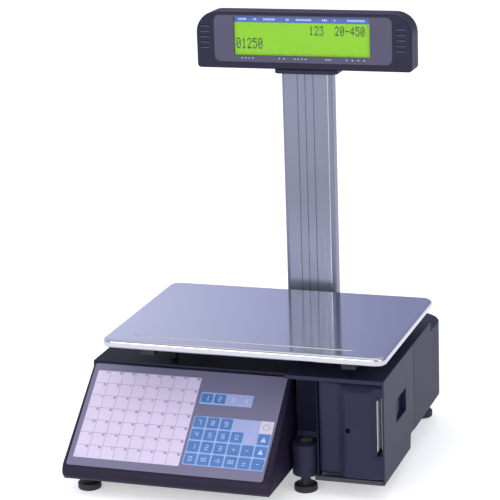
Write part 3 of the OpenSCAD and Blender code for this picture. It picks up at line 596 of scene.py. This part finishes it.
def make_function_keypad():
    """Membrane keys in relief: digits on the left, signs on the right."""
    x0, v0, x1, v1 = KEYPAD
    step_x = (x1 - x0) / 6
    step_v = (v1 - v0) / 4
    obj = on_slope(loft("Function_Keypad_Field", tile(x0, v0, x1, v1, -0.4, 0.0, 1.5)))
    finish(obj, M["key_field"], "key_film", "body", "function_keypad")
    pale = {(3, 3), (4, 3), (4, 2)}
    kinds = {"key_blue": [], "key_pale": [], "key_white": []}
    for c in range(6):
        for r in range(4):
            kind = "key_white" if (c, r) == (5, 3) else "key_pale" if (c, r) in pale else "key_blue"
            gap = 0.06
            full = kind == "key_white"
            near_edge = 0.0 if full else gap
            kinds[kind].append(tile(x0 + (c + near_edge) * step_x, v0 + (r + near_edge) * step_v,
                                    x0 + (c + 1 - near_edge) * step_x, v0 + (r + 1 - near_edge) * step_v,
                                    -0.02, 0.3, 1.4))
    for kind, rings in kinds.items():
        obj = plates("Function_" + kind.title(), rings)
        bevel(obj, 0.12, 2)
        shade(obj)
        finish(obj, M[kind], "key_film", "body")
    marks = []
    legends = {(0, 3): "7", (1, 3): "8", (2, 3): "9", (0, 2): "4", (1, 2): "5", (2, 2): "6",
               (0, 1): "1", (1, 1): "2", (2, 1): "3", (0, 0): "0", (1, 0): "00", (3, 2): "0",
               (3, 1): "+", (4, 1): "-", (2, 0): "-0", (3, 0): "00", (4, 0): "=", (5, 0): "-"}
    height = 6.0
    for (c, r), text in legends.items():
        size = height if len(text) == 1 else height * 0.72
        width = size * 0.56 * (1.6 * len(text) - 0.6)
        left = x0 + (c + 0.5) * step_x - width / 2
        low = v0 + (r + 0.5) * step_v - size / 2
        marks += strokes(text, left, low, size, 0.8, 0.28, 0.36)
    marks += arrow_marks(x0 + 5.5 * step_x, v0 + 1.5 * step_v, step_x * 0.2)
    marks += arrow_marks(x0 + 5.5 * step_x, v0 + 2.5 * step_v, step_x * 0.2)
    finish(plates("Function_Key_Marks", marks), M["white_ink"], "key_film", "body")
    ring = ring_rings(x0 + 5.5 * step_x, v0 + 3.5 * step_v, 4.2, 0.6, 0.28, 0.36)
    finish(ring, M["key_pale"], "key_film", "body")


def arrow_marks(x, v, size):
    """A plain upward triangle."""
    outline = [(x - size, v - size), (x + size, v - size), (x, v + size)]
    return [[[(px, pv, w) for px, pv in outline] for w in (0.28, 0.36)]]


def ring_rings(x, v, radius, half, low, high):
    """A flat ring on the keyboard."""
    bm = bmesh.new()
    steps = 36
    corner = [(radius - half, low), (radius + half, low), (radius + half, high), (radius - half, high)]
    turns = [2 * math.pi * i / steps for i in range(steps)]
    rings = [[(x + r * math.cos(a), v + r * math.sin(a), w) for r, w in corner] for a in turns]
    loft_into(bm, rings, closed=True)
    return on_slope(new_piece("Function_Key_Ring", bm))


STRIP = (-43.0, 108.0, 27.0, 125.0)


def make_short_key_strip():
    x0, v0, x1, v1 = STRIP
    step = (x1 - x0) / 4
    obj = on_slope(loft("Short_Key_Field", tile(x0, v0, x1, v1, -0.4, 0.0, 1.5)))
    finish(obj, M["key_field"], "key_film", "body", "short_key_strip")
    for kind, cells in (("key_blue", (0, 1)), ("key_pale", (2, 3))):
        rings = [tile(x0 + (c + 0.07) * step, v0 + 2.0, x0 + (c + 0.93) * step, v1 - 2.0, -0.02, 0.3, 1.6)
                 for c in cells]
        keys = plates("Short_" + kind.title(), rings)
        bevel(keys, 0.12, 2)
        shade(keys)
        finish(keys, M[kind], "key_film", "body")
    marks = []
    for c in range(4):
        marks += strokes("%d" % (c + 1), x0 + (c + 0.5) * step - 1.6, v0 + 5.4, 6.0, 0.95, 0.28, 0.36)
    finish(plates("Short_Key_Marks", marks), M["white_ink"], "key_film", "body")


def make_level_post():
    def top_rim(a, b):
        return both(a, b, lambda p: near(p.z, 63) and p.y < -86) and not both(
            a, b, lambda p: near(math.hypot(p.x - 94, p.y + 106), 11.3, 0.4))

    obj = soften("Level_Post", "level_post", [(1.2, 3, top_rim)])
    shade(obj)
    finish(obj, M["shell"], "housing_plastic", "body", "level_post")
    centre = (94, -106)
    section = [(8.2, 62.0), (11.1, 62.0), (11.1, 64.0), (10.6, 64.5), (8.9, 64.5), (8.2, 63.9), (8.2, 62.0)]
    ring = lathe("Level_Ring", centre, section)
    shade(ring)
    finish(ring, M["black"], "black_plastic", "body")
    drop = [(0, 64.75), (1.6, 64.7), (2.5, 64.5), (2.9, 64.2), (2.5, 63.9), (0, 63.7)]
    bubble = lathe("Level_Bubble", centre, drop)
    bubble.data.transform(Matrix.Translation((0.8 * MM, -0.6 * MM, 0)))
    shade(bubble)
    finish(bubble, M["window"], "vial_fluid", "body")


FEET = {"foot_front_left": (-177, -170, 22), "foot_front_middle": (94, -112, 22),
        "foot_rear_left": (-172, 183, 41), "foot_rear_right": (172, 183, 41)}


def make_feet():
    """Rubber-edged pads with a flared neck, a grip ring and the stud above."""
    for node, (x, y, floor) in FEET.items():
        profile = [(0, 0), (12.8, 0)] + [(13 + 2 * math.sin(a), 2 - 2 * math.cos(a)) for a in quarter(4)]
        profile += [(15, 6.6)] + [(13 + 2 * math.cos(a), 7 + 2 * math.sin(a)) for a in quarter(4)]
        profile += [(9.4, 9.5), (7.6, 11.4), (6.5, 14), (5.8, 17.5), (5.5, floor - 1.2), (5.1, floor - 0.5),
                    (4.0, floor - 0.4), (4.0, floor + 14), (0, floor + 14)]
        obj = lathe(node.title(), (x, y), profile)
        shade(obj, 30)
        finish(obj, M["rubber"], "pad_rubber", node, node)


def quarter(steps):
    return [math.pi / 2 * i / steps for i in range(steps + 1)]


# --------------------------------------------------------------------- platter
def make_platter():
    """A pressed sheet with a rolled edge, hemmed underneath, and a raised bead near the front."""
    low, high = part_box("platter")
    x0, y0, x1, y1 = (v / MM for v in (low.x, low.y, high.x, high.y))
    top = high.z / MM
    rim = 11.0
    roll = 5.0
    curl = 3.2
    sheet = 1.2
    profile = [(roll * (1 - math.sin(a)), top - roll * (1 - math.cos(a))) for a in quarter(7)]
    profile += [(curl * (1 - math.cos(a)), top - rim + curl * (1 - math.sin(a))) for a in quarter(6)]
    profile += [(curl + 0.6, top - rim + 0.3), (curl + 0.4, top - rim + 0.9), (sheet + 0.4, top - rim + curl)]
    profile += [(sheet + (roll - sheet) * (1 - math.sin(a)), top - sheet - (roll - sheet) * (1 - math.cos(a)))
                for a in reversed(quarter(5))]
    rings = []
    for inset, z in profile:
        corner = 15.0 - inset
        rings.append([(x, y, z) for x, y in rect(x0 + inset, y0 + inset, x1 - inset, y1 - inset, corner, 12)])
    obj = loft("Weighing_Platter", rings)
    shade(obj, 50)
    bead = make_bead((x0 + 33, y0 + 25.5), (x1 - 42, y0 + 25.5), top)
    whole = join("Weighing_Platter", [obj, bead])
    shade(whole, 50)
    finish(whole, M["steel"], "stainless", "platter", "platter")


def make_bead(start, end, top):
    """A low half-round bead pressed up from the sheet, fading out at both ends."""
    steps = 40
    half = 2.2
    rise = 0.9
    fade = 7.0
    rings = []
    length = end[0] - start[0]
    for i in range(steps + 1):
        x = start[0] + length * i / steps
        s = min(1.0, min(x - start[0], end[0] - x) / fade) * 0.94 + 0.06
        s = math.sin(s * math.pi / 2)
        ring = [(x, start[1] + half * s * math.cos(a), top - 0.1 + (rise + 0.1) * s * math.sin(a))
                for a in [math.pi * k / 8 for k in range(9)]]
        rings.append(ring + [(x, start[1] - half * s, top - 0.4), (x, start[1] + half * s, top - 0.4)])
    return loft("bead", rings)


# ------------------------------------------------------------- pole and collar
def make_pole():
    """An extruded column with rounded edges and three deep grooves front and rear."""
    x_mid, y_mid = POLE_X, POLE_Y
    half_w, half_d = 35.0, 12.0
    r = 6.0
    groove = 0.8
    depth = 0.9
    cuts = [0.33, 0.48, 0.64]
    face = []
    for f in cuts:
        u = (f - 0.5) * 2 * half_w
        face += [(u - groove, 0), (u - groove * 0.55, depth), (u + groove * 0.55, depth), (u + groove, 0)]
    edge = (0.955 - 0.5) * 2 * half_w
    lower = [(p[0], -half_d + p[1]) for p in face]
    outline = lower + [(half_w - r, -half_d)] + arc(half_w - r, -half_d + r, r, -90, 0, 8)[1:]
    outline += arc(half_w - r, half_d - r, r, 0, 90, 8)
    outline += [(p[0], half_d - p[1]) for p in reversed(face)]
    outline += arc(-half_w + r, half_d - r, r, 90, 180, 8)
    outline += arc(-half_w + r, -half_d + r, r, 180, 270, 8)
    outline = [(x_mid + x, y_mid + y) for x, y in outline]
    low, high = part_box("pole")
    obj = prism("Display_Pole", outline, "z", low.z / MM, high.z / MM)
    shade(obj, 30)
    finish(obj, M["pole"], "pole_aluminium", "body", "pole")
    # Thin bright steel strips where the rounded edge begins on each face: a painted highlight of the edge.
    edge_highlight_strips = []
    for side in (-1, 1):
        y = y_mid + side * (half_d + 0.05)
        y_low, y_high = sorted((y, y - side * 0.4))
        plan = rect(x_mid + edge - 2.6 - 0.4, y_low, x_mid + edge - 2.6 + 0.4, y_high)
        edge_highlight_strips.append(prism("trim", plan, "z", REAR_DECK_TOP, 486.0))
    finish(join("Pole_Edge_Highlight_Lines", edge_highlight_strips), M["folded"], "pole_aluminium", "body")


def make_collar():
    def outside(a, b):
        return both(a, b, lambda p: abs(p.x - POLE_X) > 36.2 or abs(p.y - 150.5) > 13.5)

    obj = soften("Neck_Collar", "neck_collar", [(1.0, 3, outside)])
    shade(obj)
    finish(obj, M["head"], "head_plastic", "body", "neck_collar")


# ---------------------------------------------------------------- display head
HEAD_X = (-119.0, 176.5)
HEAD_Z = (489.5, 565.0)
HEAD_Y = 152.0
WINDOW = (-66.0, 507.5, 120.5, 559.5)
PANEL = (-94.0, 498.5, 150.5, 561.3)


def head_outline(inset):
    x0, x1 = HEAD_X
    z0, z1 = HEAD_Z
    low_r, top_r = 5.0 - min(inset, 4.5), 28.0 - inset
    x0, x1, z0, z1 = x0 + inset, x1 - inset, z0 + inset, z1 - inset
    return (arc(x0 + low_r, z0 + low_r, low_r, 180, 270, 5) + arc(x1 - low_r, z0 + low_r, low_r, 270, 360, 5)
            + arc(x1 - top_r, z1 - top_r, top_r, 0, 90, 14) + arc(x0 + top_r, z1 - top_r, top_r, 90, 180, 14))


def make_head_half(name, sign, node):
    """One half of the head: rounded rim, a groove round the face, vents, a panel pocket and the window."""
    def at(depth):
        return HEAD_Y + sign * depth

    seam = 0.15
    face = 18.5
    loops = [(seam, 0.5), (seam + 0.5, 0.0), (15.6, 0.0), (15.9, 0.25), (16.0, 1.0), (16.8, 1.0),
             (16.9, 0.35), (17.4, 0.4), (18.0, 0.8), (18.35, 1.3), (face, 2.0)]
    outer = loft(name, [[place("y", p, at(d)) for p in head_outline(i)] for d, i in loops])
    hollow = loft("hollow", [[place("y", p, at(d)) for p in head_outline(3.6)] for d in (-2.0, 15.8)])
    x0, z0, x1, z1 = WINDOW
    opening = prism("opening", rect(x0, z0, x1, z1, 1.0, 3), "y", at(13.0), at(20.0))
    px0, pz0, px1, pz1 = PANEL
    pocket = prism("pocket", rect(px0, pz0, px1, pz1, 8.0), "y", at(face - 0.5), at(20.0))
    neck_plan = rect(POLE_X - 35.2, POLE_Y - 12.2, POLE_X + 35.2, POLE_Y + 12.2, 6.2)
    neck = prism("neck", neck_plan, "z", 484.0, 500.0)
    cut(outer, hollow, opening, pocket, neck)
    vents = []
    # Each vent gets a lighter strip along its lower lip: a painted highlight where the lip would catch the
    # light.
    lit_vent_lips = []
    for k in range(5):
        z = 517.6 + 7.2 * k
        for a, b in ((-113.5, -100.0), (155.0, 169.0)):
            vents.append(prism("vent", rect(a, z - 1.8, b, z + 1.4, 0.85, 3), "y", at(face - 1.3), at(20.0)))
            lit_vent_lip = rect(a + 0.3, z - 1.6, b - 0.3, z - 0.3, 0.5, 3)
            lit_vent_lips.append(prism("lit_vent_lip", lit_vent_lip, "y", at(face - 1.5), at(face - 0.2)))
    cut(outer, join("vents", vents))
    finish(join("Head_Vent_Highlights_" + node[5:-6], lit_vent_lips), M["panel"], "head_plastic", "body")
    shade(outer, 30)
    finish(outer, M["head"], "head_plastic", "body", node)
    film = prism("Panel_Film_" + node[5:-6], rect(px0 + 0.2, pz0 + 0.2, px1 - 0.2, pz1 - 0.2, 7.8), "y",
                 at(face - 0.5), at(face - 0.12))
    hole = prism("hole", rect(x0, z0, x1, z1, 1.0, 3), "y", at(13.0), at(20.0))
    cut(film, hole)
    shade(film)
    finish(film, M["panel"], "display_window", "body")


CAPTION_LOW = 551.6


def make_display(sign, node, lcd_node):
    """Behind each window: a blue caption strip, the lit panel with dot digits, and small index marks."""
    def at(depth):
        return HEAD_Y + sign * depth

    x0, z0, x1, z1 = WINDOW
    front = 15.2
    lit = rect(x0 - 3, z0 - 2, x1 + 3, CAPTION_LOW - 0.2)
    panel = prism("Lit_Panel_" + node, lit, "y", at(9.0), at(front))
    bevel(panel, 0.3, 2)
    shade(panel)
    finish(panel, M["lcd"], "lcd_panel", "body", lcd_node)
    caption = rect(x0 - 3, CAPTION_LOW, x1 + 3, z1 + 1.5)
    strip = prism("Caption_Strip_" + node, caption, "y", at(9.0), at(front + 0.3))
    bevel(strip, 0.2, 2)
    finish(strip, M["caption"], "display_window", "body")
    bars = []
    for start, length in ((6, 12), (27, 6), (41, 17), (72, 7), (86, 22), (122, 9), (138, 3), (156, 26)):
        step = 2.4
        for k in range(int(length / step)):
            left = x0 + start + k * step
            bars.append((left, 554.4, left + 1.5, 556.8))
    marks = flat_marks("Caption_Marks_" + node, bars, sign, front + 0.28)
    finish(marks, M["white_ink"], "display_window", "body")
    dots = dot_text("123", 38.0, 535.4, 1.05, 1.75) + dot_text("20-450", 73.0, 535.4, 1.05, 1.75)
    dots += dot_text("01250", -63.5, 516.2, 1.15, 2.05)
    dots += [(x - 0.9, 508.6, x + 0.9, 509.9) for x in (-3.0, 69.0, 91.0)]
    finish(flat_marks("LCD_Digits_" + node, dots, sign, front), M["lcd_ink"], "lcd_panel", "body")
    places = (-56, -51, -46, -41, -4, 2, 17, 22, 27, 32, 60, 63, 66, 88, 96, 104, 112)
    under = [(x, 503.3, x + 1.5, 504.6) for x in places]
    marks = flat_marks("Panel_Marks_" + node, under, sign, 18.36)
    finish(marks, M["white_ink"], "display_window", "body")


def flat_marks(name, boxes, sign, depth):
    """Thin raised rectangles on a face of the head, turned round at the rear to read the right way."""
    bm = bmesh.new()
    middle = (WINDOW[0] + WINDOW[2]) / 2
    for x0, z0, x1, z1 in boxes:
        if sign > 0:
            x0, x1 = 2 * middle - x1, 2 * middle - x0
        outline = rect(x0, z0, x1, z1)
        depths = (depth - 0.05, depth + 0.06)
        loft_into(bm, [[place("y", p, HEAD_Y + sign * d) for p in outline] for d in depths])
    return new_piece(name, bm)


DOT_ROWS = {"0": (14, 17, 19, 21, 25, 17, 14), "1": (4, 12, 4, 4, 4, 4, 14), "2": (14, 17, 1, 2, 4, 8, 31),
            "3": (31, 2, 4, 2, 1, 17, 14), "4": (2, 6, 10, 18, 31, 2, 2), "5": (31, 16, 30, 1, 1, 17, 14),
            "-": (0, 0, 0, 31, 0, 0, 0)}


def dot_text(text, x, z, step_x, step_z):
    """Digits on a five by seven grid of dots, from a lower left corner."""
    made = []
    for k, sign in enumerate(text):
        left = x + k * step_x * 6.6
        for r, bits in enumerate(DOT_ROWS[sign]):
            for c in range(5):
                if bits & (16 >> c):
                    dx = left + c * step_x
                    dz = z + (6 - r) * step_z
                    made.append((dx - 0.12, dz - 0.05, dx + step_x + 0.12, dz + step_z + 0.05))
    return made


# ------------------------------------------------------------- printer cassette
COVER_X = (116.5, 199.6)
COVER_Z = (28.0, 152.0)


def hermite(points, x):
    """A smooth curve through points, flat where they are level."""
    if x <= points[0][0]:
        return points[0][1]
    for k in range(len(points) - 1):
        (xa, ya), (xb, yb) = points[k], points[k + 1]
        if x <= xb:
            before = points[k - 1] if k > 0 else points[k]
            after = points[k + 2] if k + 2 < len(points) else points[k + 1]
            slope_a = (yb - before[1]) / (xb - before[0])
            slope_b = (after[1] - ya) / (after[0] - xa)
            t = (x - xa) / (xb - xa)
            w = xb - xa
            return (ya * (1 + 2 * t) * (1 - t) ** 2 + slope_a * w * t * (1 - t) ** 2
                    + yb * t * t * (3 - 2 * t) + slope_b * w * t * t * (t - 1))
    return points[-1][1]


COVER_LEFT = [(116.5, -121.0), (119.5, -124.6), (126, -126.0), (136, -126.2), (142.5, -127.0),
              (147.5, -130.0), (152.5, -133.4), (159, -134.9), (170, -135.0)]
COVER_UPPER = COVER_LEFT + [(180, -134.8), (185.5, -133.3), (189.0, -130.6), (191.5, -129.7), (199.6, -129.7)]
COVER_LOWER = COVER_LEFT + [(180, -135.0), (190, -134.7), (197, -133.4), (199.6, -131.6)]


def smooth_step(t):
    t = max(0.0, min(1.0, t))
    return t * t * (3 - 2 * t)


def cover_y(x, z):
    """Front face of the cover: an upright bulge, cut off at a slant along the top."""
    mix = smooth_step((z - 54.0) / 7.0)
    y = hermite(COVER_LOWER, x) * (1 - mix) + hermite(COVER_UPPER, x) * mix
    slant = -135.0 + (z - 141.0) * 11.5 / 11.0
    gap = y - slant
    soft = 1.2
    y = (y + slant + math.sqrt(gap * gap + soft * soft)) / 2 if z > 132 else y
    curl = max(0.0, COVER_Z[0] + 6.0 - z)
    return max(y, -135.0) + 6.0 - math.sqrt(max(0.0, 36.0 - curl * curl))


def cover_block(name, inset, x0, x1, z0, z1, y_back):
    """A block whose front is the cover's face moved back by inset."""
    columns = 84
    rows = 62
    bm = bmesh.new()
    xs = [x0 + (x1 - x0) * i / columns for i in range(columns + 1)]
    zs = [z0 + (z1 - z0) * k / rows for k in range(rows + 1)]
    front = [[bm.verts.new((x, cover_y(x, z + inset * 0.5) + inset, z)) for x in xs] for z in zs]
    back = [[bm.verts.new((x, y_back, z)) for x in (x0, x1)] for z in (z0, z1)]
    for k in range(rows):
        for i in range(columns):
            bm.faces.new((front[k][i], front[k][i + 1], front[k + 1][i + 1], front[k + 1][i]))
    bm.faces.new([back[0][0]] + [back[0][1]] + front[0][::-1])
    bm.faces.new([back[1][1], back[1][0]] + front[rows])
    bm.faces.new([back[0][0]] + [front[k][0] for k in range(rows + 1)] + [back[1][0]])
    bm.faces.new([back[1][1]] + [front[k][columns] for k in range(rows, -1, -1)] + [back[0][1]])
    bm.faces.new((back[0][0], back[1][0], back[1][1], back[0][1]))
    return new_piece(name, bm)


def make_front_cover():
    wall = 2.4
    obj = cover_block("Printer_Front_Cover", 0.0, *COVER_X, *COVER_Z, -113.2)
    x0, x1 = COVER_X
    z0, z1 = COVER_Z
    inner = cover_block("inner", wall, x0 + wall, x1 + 1.0, z0 - 2, z1 - wall, -100.0)
    slot = block("slot", (192.5, -140, 60), (201, -100, 136))
    bore = prism("bore", arc(157, 92, 3.4, 0, 345, 23), "y", -140, -100)
    foot = block("foot", (110, -118, 0), (118.9, -100, 40))
    cut(obj, inner, slot, bore, foot)
    shade(obj, 30)
    finish(obj, M["cover"], "cover_plastic", "cassette", "cassette_front_cover")


def make_side_cover():
    """Side plate with softened edges and a finger pull that slopes in from the front."""
    def outer(a, b):
        return both(a, b, lambda p: near(p.x, BODY_RIGHT) and not (-72 < p.y < -18 and 80 < p.z < 116))

    def pull(a, b):
        return both(a, b, lambda p: near(p.x, BODY_RIGHT) and -72 < p.y < -18 and 80 < p.z < 116)

    obj = soften("Printer_Side_Cover", "cassette_side_cover", [(1.0, 3, outer), (0.9, 3, pull)])
    for v in obj.data.vertices:
        x, y, z = (c / MM for c in v.co)
        if near(x, 194, 0.3) and near(y, -69.5, 0.3) and 82 < z < 114:
            v.co.x = 199.2 * MM
    shade(obj)
    finish(obj, M["cover"], "cover_plastic", "cassette", "cassette_side_cover")


# ------------------------------------------------- CAD nodes that stay as built
KEPT = {
    "base_chassis": "chassis", "keyboard_board": "board", "vial_ring": "black", "spirit_vial": "fluid",
    # The overload stops here and the platter spider below are near black: painted shade under the platter.
    "housing_screws": "zinc", "load_cell": "cast", "load_cell_base": "cast", "overload_stops": "shade_black_metal",
    "main_board": "board", "power_supply": "supply", "power_inlet": "black", "io_panel": "folded",
    "printer_rails": "folded", "pole_bracket": "folded", "pole_screws": "zinc", "display_cable": "cable",
    "head_front_window": "window", "head_rear_window": "window", "head_screws": "zinc",
    "power_rocker": "black",
    "platter_spider": "shade_black_metal", "platter_pads": "rubber", "cassette_frame": "frame", "drive_motor": "motor",
    "label_web": "paper", "peel_bar": "zinc", "label_sensor": "black", "head_spring": "zinc",
    "release_lever": "lever", "thermal_head": "ceramic", "head_bracket": "folded", "supply_spindle": "spool",
    "label_roll": "roll", "rewind_spool": "spool", "rewound_backing": "backing", "platen_roller": "rubber",
    "platen_shaft": "zinc", "platen_gear": "gear", "idler_gear": "gear", "motor_gear": "brass",
}


def dress_kept_nodes():
    for name, key in KEPT.items():
        mesh = nodes[name].data
        mesh.materials.clear()
        mesh.materials.append(M[key])


# ------------------------------------------------------------ floor, light, view
def make_stage():
    bm = bmesh.new()
    bmesh.ops.create_grid(bm, x_segments=2, y_segments=2, size=8000)
    floor = new_piece("Floor", bm)
    floor.data.materials.append(M["floor"])


def area_light(name, place_m, target_m, size, power, color):
    data = bpy.data.lights.new(name, "AREA")
    data.shape = "RECTANGLE"
    data.size, data.size_y = size
    data.energy = power
    data.color = color
    lamp = bpy.data.objects.new(name, data)
    lamp.location = place_m
    direction = Vector(target_m) - Vector(place_m)
    lamp.rotation_euler = direction.to_track_quat("-Z", "Y").to_euler()
    bpy.context.scene.collection.objects.link(lamp)


def make_world():
    """A plain studio: a pale ceiling, grey front walls, and a blue backdrop that is lighter on the left."""
    world = bpy.data.worlds.new("Studio")
    world.use_nodes = True
    tree = world.node_tree
    coords = tree.nodes.new("ShaderNodeTexCoord")
    split = tree.nodes.new("ShaderNodeSeparateXYZ")
    tree.links.new(coords.outputs["Generated"], split.inputs[0])
    leftward = link_range(tree, split.outputs["X"], 0.0, 1.0, -0.24, -0.38)
    backdrop = link_mix(tree, leftward, (0.38, 0.4, 0.63), (0.85, 0.88, 1.18))
    rearward = link_range(tree, split.outputs["Y"], 0.0, 1.0, -0.25, 0.3)
    walls = link_mix(tree, rearward, (0.72, 0.72, 0.77), backdrop)
    upward = link_range(tree, split.outputs["Z"], 0.0, 1.0, 0.4, 0.8)
    color = link_mix(tree, upward, walls, (0.78, 0.78, 0.8))
    tree.links.new(color, tree.nodes["Background"].inputs["Color"])
    bpy.context.scene.world = world


def make_lights():
    make_world()
    area_light("Key", (-0.7, -2.9, 1.3), (0, 0, 0.15), (1.8, 1.0), 25, (1.0, 0.99, 0.98))
    area_light("Fill", (2.2, -1.2, 1.3), (0.1, 0, 0.2), (1.4, 1.4), 9, (0.9, 0.93, 1.0))
    area_light("Top", (0.1, -0.2, 2.4), (0, 0, 0.1), (1.8, 1.8), 6, (1, 1, 1))


def make_camera():
    """The photograph's viewpoint: to the right of the front, a little above."""
    azimuth = math.radians(18.8)
    elevation = math.radians(15.45)
    roll = math.radians(-1.96)
    level = math.cos(elevation)
    back = Vector((math.sin(azimuth) * level, -math.cos(azimuth) * level, math.sin(elevation)))
    right = Vector((math.cos(azimuth), math.sin(azimuth), 0))
    up = back.cross(right)
    across = right * math.cos(roll) + up * math.sin(roll)
    rise = up * math.cos(roll) - right * math.sin(roll)
    data = bpy.data.cameras.new("Camera")
    data.lens = 145.44
    data.sensor_width = 36
    data.clip_end = 60
    camera = bpy.data.objects.new("Camera", data)
    turn = Matrix((across, rise, back)).transposed().to_4x4()
    camera.matrix_world = Matrix.Translation((0.8030, -2.3826, 0.9732)) @ turn
    bpy.context.scene.collection.objects.link(camera)
    bpy.context.scene.camera = camera


make_camera()
make_stage()
make_lights()
make_upper_housing()
make_console()
make_overlay()
make_preset_sheet()
make_function_keypad()
make_short_key_strip()
make_level_post()
make_feet()
make_platter()
make_pole()
make_collar()
make_head_half("Head_Front_Half", -1, "head_front_shell")
make_head_half("Head_Rear_Half", 1, "head_rear_shell")
make_display(-1, "front", "lcd_front")
make_display(1, "rear", "lcd_rear")
make_front_cover()
make_side_cover()
dress_kept_nodes()
bpy.context.scene.view_settings.view_transform = "Standard"
